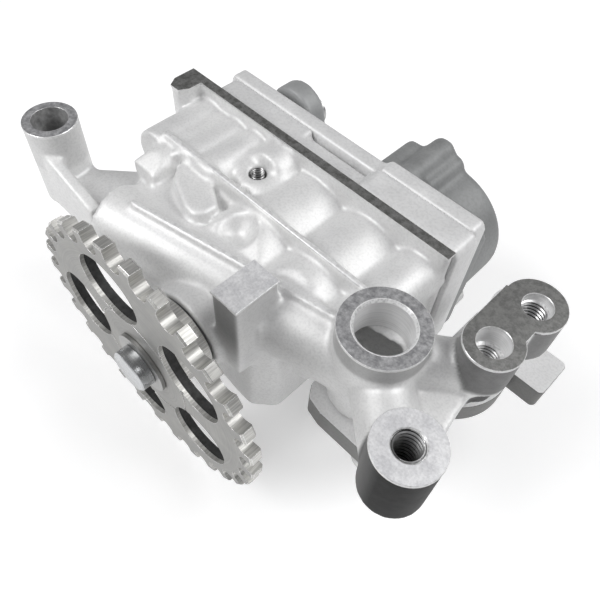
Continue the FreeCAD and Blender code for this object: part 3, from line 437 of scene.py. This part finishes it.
milled_painted_dark = milled_finish("milled_painted_dark", (0.22, 0.22, 0.21), (0.42, 0.42, 0.41), 0.30, 2.2)
milled_flange_painted_dark = milled_finish("milled_flange_painted_dark", (0.20, 0.20, 0.195), (0.34, 0.34, 0.33),
                              0.34, 1.8)
milled_flange_painted_dark.shader.inputs["Metallic"].default_value = 0.8
milled_alloy = milled_finish("milled_alloy", (0.30, 0.30, 0.31), (0.60, 0.60, 0.61), 0.36, 2.2)
milled_alloy.shader.inputs["Metallic"].default_value = 0.65
milled_painted_light = milled_finish("milled_painted_light", (0.62, 0.62, 0.635), (0.80, 0.80, 0.81),
                             0.40, 3.4)
milled_painted_light.shader.inputs["Metallic"].default_value = 0.35
painted_highlight_edge = Finish("painted_highlight_edge", 0.5, 0.30)
painted_highlight_edge.colour(painted_highlight_edge.ramp(painted_highlight_edge.noise(0.9, 3), (0.35, 0.62), (0.60, 0.97)))
tops = merged("housing")
for centre, radius, wanted in (
        (barrel_at, m8_core, 4.2), (near_at, m8_core, 4.6), (far_at, m8_core, 4.4),
        (hollow_boss_at, boss_radius, 5.2), (port_at, port_radius, 8.4)):
    widen(tops, centre, radius, wanted)
sunk = 0.25
cut_level(tops, (0, 0, (cast_level - sunk) * MM), (0, 0, -1))
flats_joined(tops)
tops.normal_update()
# The rear strip keeps its sharp edges; all the other tops have a narrow bevelled one, coloured
# as a painted highlight.
strip_front, strip_end = -12, 50
upper = [e for e in tops.edges if len(e.link_faces) == 2
         and all(v.co.z > (top_level - 0.01) * MM
                 and (v.co.y < strip_front * MM or v.co.x > strip_end * MM) for v in e.verts)
         and e.calc_face_angle(0) > math.radians(60)]
bmesh.ops.bevel(tops, geom=upper, offset=0.14 * MM, segments=1, profile=0.5, affect="EDGES",
                material=-1, clamp_overlap=True)
tops.normal_update()
# Painted reflection: the rear strip and the flange take dark copies of the milled finish, the
# barrel and block tops a light one.
for face in tops.faces:
    x, y, z = face.calc_center_median() / MM
    rear_strip = y > strip_front and x < strip_end
    if face.normal.z > 0.95:
        painted_light_top = from_axis(x, y, barrel_at) < 10 or (8 < x < 22 and y < -38)
        flange_top = x > 58 and y > -27
        face.material_index = (1 if rear_strip else 3 if painted_light_top
                               else 5 if flange_top else 2)
    elif face.normal.z > 0.3:
        face.material_index = 1 if rear_strip else 4
piece("machined_tops", tops, [cast_alloy, milled_painted_dark, milled_alloy, milled_painted_light, painted_highlight_edge,
                              milled_flange_painted_dark], "pump", crisp=30)

# Two straight ribs are cast on: one crosses the deck, one runs along the gallery's back.
# Each is a narrow bead of a mottled light alloy.
def ease_edges(made, width, segments, angle=30, harden=False, slot=-1):
    """Bevels the edges of a piece that turn by more than angle degrees, width in mm."""
    ease = made.modifiers.new("ease", "BEVEL")
    ease.width, ease.segments = width * MM, segments
    ease.limit_method, ease.angle_limit = "ANGLE", math.radians(angle)
    ease.harden_normals, ease.material = harden, slot


def bead(name, start, end, half, height):
    """A cast bead from start to end: half as wide to each side, height deep below its crest."""
    work = bmesh.new()
    run = Vector(end) - Vector(start)
    along = run.normalized()
    side = Vector((-along.y, along.x, 0))
    outline = [(-half, -height), (half, -height), (half * 0.9, -0.5), (half * 0.55, -0.08),
               (-half * 0.55, -0.08), (-half * 0.9, -0.5)]
    ends = [[work.verts.new((Vector(start) + step * run + side * across
                             + Vector((0, 0, up))) * MM) for across, up in outline]
            for step in (0, 1)]
    for ring in ends:
        work.faces.new(ring)
    for one in range(len(outline)):
        two = (one + 1) % len(outline)
        work.faces.new((ends[0][one], ends[0][two], ends[1][two], ends[1][one]))
    bmesh.ops.recalc_face_normals(work, faces=work.faces)
    ease_edges(piece(name, work, rib_alloy, "pump"), 0.35, 3)


rib_alloy = Finish("rib_alloy", 0.45, 0.45)
rib_tone = rib_alloy.noise(1.4, 4)
rib_alloy.colour(rib_alloy.ramp(rib_tone, (0.34, 0.66), (0.60, 0.84)))
rib_alloy.bump((rib_alloy.noise(0.6, 3), 0.05), (rib_alloy.noise(4, 3), 0.15))
deck_rib_y, deck_rib_crest, gallery_rib_crest = -24.6, 24.0, 20.3
bead("deck_rib", (-47.5, deck_rib_y, deck_rib_crest), (36.4, deck_rib_y, deck_rib_crest),
     half=0.95, height=2.6)
gallery_turn = math.radians(11.6)
gallery_rib_ends = [(port_at[0] - along * math.cos(gallery_turn),
                     port_at[1] - along * math.sin(gallery_turn), gallery_rib_crest)
                    for along in (14, 82.6)]
bead("gallery_rib", *gallery_rib_ends, half=1.05, height=2.4)


# Port bore: the wall is bored smooth, with fine rings from the tool; its bright bored colour is
# raised near white as painted light, and its chamfer carries a painted highlight. The oil
# passage opens through its floor.
def turned(centre, profile, steps=96):
    """A ring turned about an upright axis from a closed outline of (radius, height)."""
    x, y = centre
    work = bmesh.new()
    corners = [work.verts.new(((x + radius) * MM, y * MM, height * MM))
               for radius, height in profile]
    outline = [work.edges.new(pair) for pair in zip(corners, corners[1:] + corners[:1])]
    bmesh.ops.spin(work, geom=corners + outline, cent=(x * MM, y * MM, 0), axis=(0, 0, 1),
                   angle=math.tau, steps=steps, use_merge=True)
    bmesh.ops.remove_doubles(work, verts=work.verts, dist=1e-7)
    bmesh.ops.recalc_face_normals(work, faces=work.faces)
    return work


def painted_highlight_mouth(work, centre, least):
    """Gives slot 1, the painted highlight, to faces that slope inward and rise more than least.
    """
    work.normal_update()
    for face in work.faces:
        inward = Vector((centre[0] * MM, centre[1] * MM, 0)) - face.calc_center_median()
        inward.z = 0
        if face.normal.z > least and face.normal.dot(inward) > 0:
            face.material_index = 1


bored_alloy_painted_light = Finish("bored_alloy_painted_light", 0.35, 0.34)
tool_rings = bored_alloy_painted_light.noise(0.32, 2, bored_alloy_painted_light.mapped((0.02, 0.02, 1)))
bored_alloy_painted_light.colour(bored_alloy_painted_light.ramp(tool_rings, (0.38, 0.86), (0.62, 1.0)))
bored_alloy_painted_light.bump((tool_rings, 0.012))
port_foot, port_brim, port_outer = 15.3, 26.42, 9.4
port = turned(port_at, ((port_radius, port_foot), (port_radius, 25.7), (8.3, port_brim),
                        (port_outer, port_brim), (port_outer, port_foot)))
painted_highlight_mouth(port, port_at, 0.4)
piece("port_bore", port, [bored_alloy_painted_light, painted_highlight_edge], "pump", crisp=30)


# Tapped holes: real helical threads cut by a tap, closed at the foot; roots and foot are near
# black as painted shade.
# The flange's two are M8 of 1.25 mm pitch, the barrel's is coarser, the deck's is a small one.
def threaded(centre, top, foot, core, depth, pitch):
    """The wall of a tapped hole: one pitch of thread wound up from the foot to the top."""
    x, y = centre
    steps = 32
    work = bmesh.new()
    turns = math.ceil((top - foot) / pitch) + 2
    flank = ((core + depth, 0), (core + depth * 0.5, 0.2), (core, 0.4), (core, 0.58),
             (core + depth * 0.45, 0.79), (core + depth, 1.0))
    points = [work.verts.new(((x + radius) * MM, y * MM, (foot - pitch * (1.5 - part)) * MM))
              for radius, part in flank]
    outline = [work.edges.new(pair) for pair in zip(points, points[1:])]
    bmesh.ops.spin(work, geom=points + outline, cent=(x * MM, y * MM, 0), axis=(0, 0, 1),
                   dvec=(0, 0, pitch * MM / steps), angle=math.tau * turns, steps=steps * turns,
                   use_merge=False)
    bmesh.ops.remove_doubles(work, verts=work.verts, dist=2e-6)
    bmesh.ops.bisect_plane(work, geom=work.verts[:] + work.edges[:] + work.faces[:], dist=1e-8,
                           plane_co=(0, 0, top * MM), plane_no=(0, 0, 1), clear_outer=True)
    cut = bmesh.ops.bisect_plane(
        work, geom=work.verts[:] + work.edges[:] + work.faces[:], dist=1e-8,
        plane_co=(0, 0, foot * MM), plane_no=(0, 0, -1), clear_outer=True)
    made = bmesh.ops.triangle_fill(work, edges=rim_of(cut), use_beauty=True)
    floor = [f for f in made["geom"] if isinstance(f, bmesh.types.BMFace)]
    bmesh.ops.recalc_face_normals(work, faces=work.faces)
    work.normal_update()
    if floor and floor[0].normal.z < 0:
        bmesh.ops.reverse_faces(work, faces=work.faces)
    # Painted shade: the thread roots and the hole's foot take slot 1, the near black one.
    for face in work.faces:
        middle = face.calc_center_median() / MM
        if from_axis(middle.x, middle.y, centre) > core + depth * 0.45:
            face.material_index = 1
    for face in floor:
        face.material_index = 1
    return work


def thin_wall(made, thickness):
    """Gives an open shell a wall behind its seen side."""
    wall = made.modifiers.new("wall", "SOLIDIFY")
    wall.thickness, wall.offset = thickness * MM, -1


tapped_alloy = Finish("tapped_alloy", 0.85, 0.30)
tapped_alloy.colour(tapped_alloy.ramp(tapped_alloy.noise(1.6, 3), (0.35, 0.48), (0.65, 0.72)))
tapped_alloy.bump((tapped_alloy.noise(0.3, 2), 0.01))
painted_hole_shade = Finish("painted_hole_shade", 0.2, 0.6)
painted_hole_shade.colour(painted_hole_shade.ramp(painted_hole_shade.noise(0.8, 2), (0.3, 0.015), (0.7, 0.05)))
for name, centre, top, foot, pitch in (
        ("barrel_thread", barrel_at, 26.2, 8.6, 1.75),
        ("near_thread", near_at, 19.4, 5.2, 1.25),
        ("far_thread", far_at, 23.4, 13.0, 1.25)):
    thread = threaded(centre, top, foot, m8_core, 0.72, pitch)
    thin_wall(piece(name, thread, [tapped_alloy, painted_hole_shade], "pump"), 0.12)
deck_thread = threaded(deck_hole_at, 21.4, 14.0, 2.0, 0.3, 0.7)
thin_wall(piece("deck_thread", deck_thread, [tapped_alloy, painted_hole_shade], "pump"), 0.08)

# Mouths of the holes, each edge with a painted highlight: the near and far bolt holes have a
# counterbore, the barrel's mouth is countersunk.
mouth_brim = 26.46
for name, centre, profile in (
        ("barrel_mouth", barrel_at,
         ((3.9, 26.0), (4.3, mouth_brim), (5.0, mouth_brim), (5.0, 25.4), (4.12, 25.4))),
        ("near_mouth", near_at,
         ((3.5, 19.3), (4.5, 19.7), (4.5, 26.0), (4.9, mouth_brim), (5.6, mouth_brim),
          (5.6, 18.6), (4.2, 18.6))),
        ("far_mouth", far_at,
         ((3.5, 23.3), (4.1, 23.6), (4.1, 26.1), (4.45, mouth_brim), (5.2, mouth_brim),
          (5.2, 22.6), (4.2, 22.6)))):
    ring = turned(centre, profile, 64)
    painted_highlight_mouth(ring, centre, 0.3)
    piece(name, ring, [bored_alloy_painted_light, painted_highlight_edge], "pump")

# Bore of the hollow boss: left rough and blotchy, and darker inside than the casting as painted
# shade.
# Its mouth opens in a wide cone.
boss_bore_painted_shade = Finish("boss_bore_painted_shade", 0.5, 0.45)
boss_bore_painted_shade.colour(boss_bore_painted_shade.ramp(
    boss_bore_painted_shade.noise(2.6, 4), (0.34, 0.24), (0.52, 0.40), (0.70, 0.60)))
boss_bore_painted_shade.bump((boss_bore_painted_shade.noise(0.6, 3), 0.04))
boss_foot, boss_outer = -2.9, 6.6
boss_bore = turned(hollow_boss_at, (
    (boss_radius, boss_foot), (boss_radius, 19.0), (5.6, mouth_brim), (boss_outer, mouth_brim),
    (boss_outer, boss_foot)), 72)
piece("boss_bore", boss_bore, boss_bore_painted_shade, "pump")

# Cover plate and rear plate: two light sand-cast plates with rubbed outer edges,
# held together by the long screws with a hair-thin joint between them.
plate_alloy = cast_finish("plate_alloy", (0.70, 0.70, 0.70), (0.80, 0.80, 0.80),
                          (0.92, 0.92, 0.92), 0.35, 0.52, 0.75)
for name, node in (("cover_plate_casting", "cover_plate"), ("rear_plate_casting", "rear_plate")):
    piece(name, rubbed(merged(node), voxel=0.7, passes=4), plate_alloy, "pump", [node], crisp=80)

# Rear casting: a dull grey drum with screw bosses and the suction spigot below it.
# It is another casting than the housing, darker and unblasted.
dull_alloy = cast_finish("dull_alloy", (0.24, 0.245, 0.245), (0.33, 0.335, 0.335),
                         (0.46, 0.465, 0.47), 0.35, 0.55, 0.7)
pot = rubbed(merged("rear_casting"), voxel=0.8, passes=4)
# Its lower edge is calmed around the screw pockets, but not at the spigot's round foot.
spigot_foot_at = (-8, 34)
low_edge = [v for v in pot.verts if v.co.z < -14 * MM and v.co.y > 21 * MM
            and from_axis(v.co.x / MM, v.co.y / MM, spigot_foot_at) > 13.5]
smoothed(pot, low_edge, 14)
# The painted shade layer stays empty here; its far wing is coloured lighter all over as painted
# light.
pot.verts.layers.float.new("shade")
wear_and_painted_light = pot.verts.layers.float["edge"]
for v in pot.verts:
    v[wear_and_painted_light] += 0.75 * fade(v.co.x / MM, -26, -18)
piece("rear_casting_skin", pot, dull_alloy, "pump", ["rear_casting"], crisp=80)

# Joint gasket and inlet sealing ring: thin pressed fibre, and black moulded rubber.
# Both are squeezed between their neighbours.
def dressed(node, finish):
    """Gives a CAD piece whose shape is right its real finish."""
    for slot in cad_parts[node].material_slots:
        slot.material = finish.made


fibre = Finish("gasket_fibre", 0.0, 0.75)
fibre.colour(fibre.ramp(fibre.noise(0.8, 4), (0.3, (0.10, 0.10, 0.09)),
                        (0.7, (0.17, 0.165, 0.15))))
fibre.bump((fibre.noise(0.4, 3), 0.02))
dressed("rear_gasket", fibre)
rubber = Finish("seal_rubber", 0.0, 0.5)
rubber.colour(rubber.ramp(rubber.noise(1.5, 3), (0.3, 0.012), (0.7, 0.03)))
rubber.bump((rubber.noise(0.5, 2), 0.01))
dressed("inlet_seal", rubber)

# Foot plate: a light casting with two milled pads and a round neck under the arm.
# Two screws from below hold it to the arm's posts.
foot_alloy = cast_finish("foot_alloy", (0.76, 0.76, 0.76), (0.84, 0.84, 0.84),
                         (0.90, 0.90, 0.90), 0.30, 0.5)
foot_painted_shade = cast_finish("foot_painted_shade", (0.16, 0.16, 0.155), (0.24, 0.24, 0.235),
                        (0.5, 0.5, 0.5), 0.35, 0.5)
foot_work = merged("foot_plate")
flats_joined(foot_work)
foot = piece("foot_plate_casting", foot_work, [foot_alloy, foot_painted_shade], "pump", ["foot_plate"])
ease_edges(foot, 0.6, 3, 32, harden=True)
# Painted shade: the plate's sides take the dark copy of its casting finish.
for face in foot.data.polygons:
    if face.normal.z < 0.5:
        face.material_index = 1

# Screws and the two plugs: zinc-plated steel, turned and rolled, a little dulled.
# The screws hold plates, rear casting and foot plate; the plugs close gallery and valve.
zinc = Finish("zinc_plate", 1.0, 0.32)
zinc.colour(zinc.ramp(zinc.noise(2.2, 4), (0.32, (0.40, 0.40, 0.41)),
                      (0.68, (0.62, 0.62, 0.60))))
zinc.rough(zinc.range(zinc.noise(1.2, 3), 0.3, 0.7, 0.26, 0.42))
zinc.bump((zinc.noise(0.5, 2), 0.008))
for node in ("cover_screws", "foot_screws", "gallery_plug", "valve_plug"):
    dressed(node, zinc)


# Sprocket: a steel chain wheel with five round windows, face-turned and hobbed.
# It sits on the shaft's front end behind a retaining ring and is driven by a key.
def turned_face(name, dark, light, roughness, pitch, metallic=1.0):
    """Face-turned steel: fine rings about the shaft's axis over a calm ground tone."""
    finish = Finish(name, metallic, roughness)
    flat = finish.mapped((1, 0, 1))
    length = finish.nodes.new("ShaderNodeVectorMath")
    length.operation = "LENGTH"
    finish.links.new(flat, length.inputs[0])
    rings = finish.nodes.new("ShaderNodeTexNoise")
    rings.noise_dimensions = "1D"
    rings.inputs["Scale"].default_value = 1 / (pitch * MM)
    rings.inputs["Detail"].default_value = 2
    finish.links.new(length.outputs["Value"], rings.inputs["W"])
    ground = finish.noise(7, 5)
    tone = finish.ramp(ground, (0.32, dark), (0.68, light))
    lines = finish.ramp(rings.outputs["Fac"], (0.36, 0.86), (0.60, 1.0))
    finish.colour(finish.mix(1.0, tone, lines, "MULTIPLY"))
    finish.rough(finish.range(ground, 0.3, 0.7, roughness - 0.04, roughness + 0.08))
    finish.bump((rings.outputs["Fac"], 0.02), (finish.noise(0.4, 2), 0.008))
    return finish


wheel_face = turned_face("wheel_face", (0.25, 0.248, 0.24), (0.37, 0.366, 0.35), 0.42, 0.5, 0.6)
wheel_flank = Finish("wheel_flank", 0.9, 0.44)
hob_marks = wheel_flank.noise(0.5, 3, wheel_flank.mapped((1, 0.06, 1)))
wheel_flank.colour(wheel_flank.ramp(hob_marks, (0.35, (0.42, 0.415, 0.40)),
                                    (0.65, (0.66, 0.655, 0.63))))
wheel_flank.bump((hob_marks, 0.008), (wheel_flank.noise(0.4, 2), 0.006))
# The bevelled edges are bright: partly edge wear, partly a painted highlight.
wheel_edge_wear_and_highlight = Finish("wheel_edge_wear_and_highlight", 1.0, 0.25)
wheel_edge_wear_and_highlight.colour(wheel_edge_wear_and_highlight.ramp(wheel_edge_wear_and_highlight.noise(1.0, 3), (0.3, 0.62), (0.7, 0.85)))
window_painted_shade = Finish("window_painted_shade", 0.3, 0.6)
window_painted_shade.colour(window_painted_shade.ramp(window_painted_shade.noise(1.5, 3), (0.3, 0.012), (0.7, 0.04)))
wheel = merged("sprocket")
flats_joined(wheel)
# The windows are drawn out to the size that is seen, a little wider than they are high.
window_circle, window_radius = 25.4, 9.4
seen_circle, stretch_out, stretch_across = 26.5, 1.1, 1.28
for number in range(5):
    turn = math.radians(36 + 72 * number)
    outward = Vector((math.cos(turn), 0, math.sin(turn)))
    across = Vector((-outward.z, 0, outward.x))
    for v in wheel.verts:
        flat = Vector((v.co.x, 0, v.co.z)) / MM - outward * window_circle
        if abs(flat.length - window_radius) < 0.2:
            shifted = (outward * (seen_circle + flat.dot(outward) * stretch_out)
                       + across * flat.dot(across) * stretch_across) * MM
            v.co.x, v.co.z = shifted.x, shifted.z
wheel.normal_update()
wheel_back, wall_front = -66, -71.9


def in_window(face):
    place = face.calc_center_median() / MM
    return 14 < math.hypot(place.x, place.z) < 37.5 and abs(face.normal.y) < 0.5


# Painted shade: the window walls are near black, apart from a narrow lip at the front that keeps
# the flank's colour.
walls = [f for f in wheel.faces
         if in_window(f) and f.calc_center_median().y < wheel_back * MM]
around_walls = list({e for f in walls for e in f.edges} | {v for f in walls for v in f.verts})
bmesh.ops.bisect_plane(wheel, geom=walls + around_walls, dist=1e-7,
                       plane_co=(0, wall_front * MM, 0), plane_no=(0, 1, 0))
wheel.normal_update()
for face in wheel.faces:
    face.material_index = 0 if abs(face.normal.y) > 0.95 else 1
    if in_window(face) and wall_front < face.calc_center_median().y / MM < wheel_back:
        face.material_index = 3
ease_edges(piece("sprocket_wheel", wheel, [wheel_face, wheel_flank, wheel_edge_wear_and_highlight, window_painted_shade],
                 "rotor", ["sprocket"], crisp=30), 0.22, 2, 32, harden=True, slot=2)

# Drive shaft with its retaining ring: ground and polished steel, dark in its reflections.
# The ring is a turned steel washer in the shaft's groove.
ground_steel = Finish("ground_steel", 0.9, 0.26)
grinding = ground_steel.noise(0.35, 2, ground_steel.mapped((0.03, 1, 0.03)))
ground_steel.colour(ground_steel.ramp(grinding, (0.3, (0.46, 0.47, 0.48)),
                                      (0.7, (0.60, 0.61, 0.62))))
ground_steel.rough(ground_steel.range(ground_steel.noise(6, 4), 0.3, 0.7, 0.22, 0.32))
shaft = piece("ground_shaft", merged("drive_shaft"), ground_steel, "rotor", ["drive_shaft"])
ease_edges(shaft, 0.3, 2, 50)
ring_steel = turned_face("ring_steel", (0.30, 0.30, 0.295), (0.42, 0.42, 0.41), 0.32, 0.3, 0.8)
dressed("shaft_ring", ring_steel)

# Keys, gears, pin and dowels: hardened steel, ground on the faces.
# The keys lock sprocket and drive gear to the shaft; the driven gear turns on the pin.
hard_steel = turned_face("hard_steel", (0.34, 0.34, 0.34), (0.48, 0.48, 0.47), 0.26, 0.35)
for node in ("sprocket_key", "gear_key", "drive_gear", "driven_gear", "gear_pin", "dowels"):
    dressed(node, hard_steel)

# Bushes: bronze with fine boring rings, pressed in and bored to size.
# Two carry the shaft, one the driven gear.
bronze = turned_face("bush_bronze", (0.42, 0.24, 0.10), (0.60, 0.38, 0.17), 0.30, 0.4)
for node in ("front_bush", "rear_bush", "gear_bush"):
    dressed(node, bronze)

# Relief valve: a dark hardened piston, its oil-tempered coil spring and a copper washer.
# The spring stands on the plug and gets a mesh of its own.
valve_steel = Finish("valve_steel", 1.0, 0.28)
valve_steel.colour(valve_steel.ramp(valve_steel.noise(1.4, 3), (0.3, 0.10), (0.7, 0.20)))
valve_steel.bump((valve_steel.noise(0.4, 2), 0.006))
dressed("valve_piston", valve_steel)
coils = merged("valve_spring")
spring = piece("relief_spring", coils, valve_steel, "pump", ["valve_spring"], crisp=60)
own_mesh(spring)
copper = Finish("washer_copper", 1.0, 0.34)
copper.colour(copper.ramp(copper.noise(1.6, 4), (0.3, (0.40, 0.15, 0.07)),
                          (0.7, (0.66, 0.30, 0.16))))
copper.bump((copper.noise(0.5, 2), 0.01))
dressed("plug_washer", copper)
